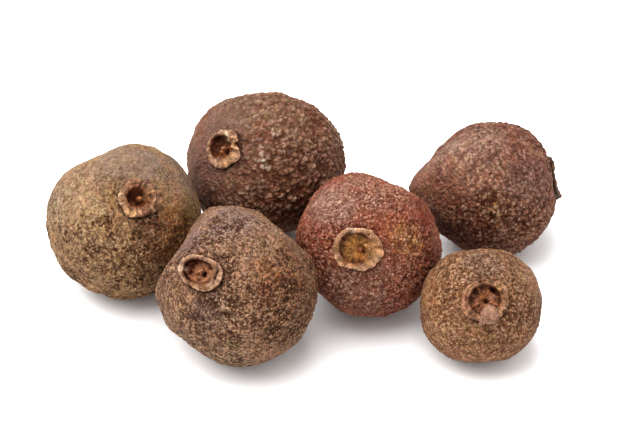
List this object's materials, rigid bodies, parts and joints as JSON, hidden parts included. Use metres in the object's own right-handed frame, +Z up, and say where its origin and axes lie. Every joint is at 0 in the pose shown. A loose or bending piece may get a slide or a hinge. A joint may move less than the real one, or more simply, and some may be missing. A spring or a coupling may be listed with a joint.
{
  "type": "group of dried allspice berries",
  "caption": "Whole dried allspice berries lying loose and close together, globular with a rough gland-dotted skin and the small ragged crown of the calyx on each.",
  "frame": {"origin": "on the surface that the berries lie on, under the middle of the group", "axes": "+X to the right along the group, +Y towards its back, +Z up"},
  "size_m": [0.0244, 0.017, 0.0075],
  "materials": {
    "olive_brown_skin": "dried skin of an allspice berry, matt, covered with fine raised glands, olive to tan brown",
    "purple_brown_skin": "dried skin of an allspice berry, matt, coarse raised glands with pale tips, dark purple-brown",
    "grey_brown_skin": "dried skin of an allspice berry, matt, very fine raised glands, warm grey-brown with darker blotches",
    "red_brown_skin": "dried skin of an allspice berry, matt, fine raised glands with pale tips, red-brown",
    "dark_red_brown_skin": "dried skin of an allspice berry, matt, coarse raised glands with pale tips, dark red-brown",
    "tan_brown_skin": "dried skin of an allspice berry, matt, very fine raised glands, tan brown",
    "dried_calyx": "dried calyx, thin and fibrous, matt, pale tan at its torn lip and darker inside"
  },
  "bodies": {
    "root": {"berry_left": "olive_brown_skin", "berry_back": "purple_brown_skin", "berry_front": "grey_brown_skin", "berry_middle": "red_brown_skin", "berry_right_back": "dark_red_brown_skin", "berry_right_front": "tan_brown_skin"}
  },
  "joints": []
}
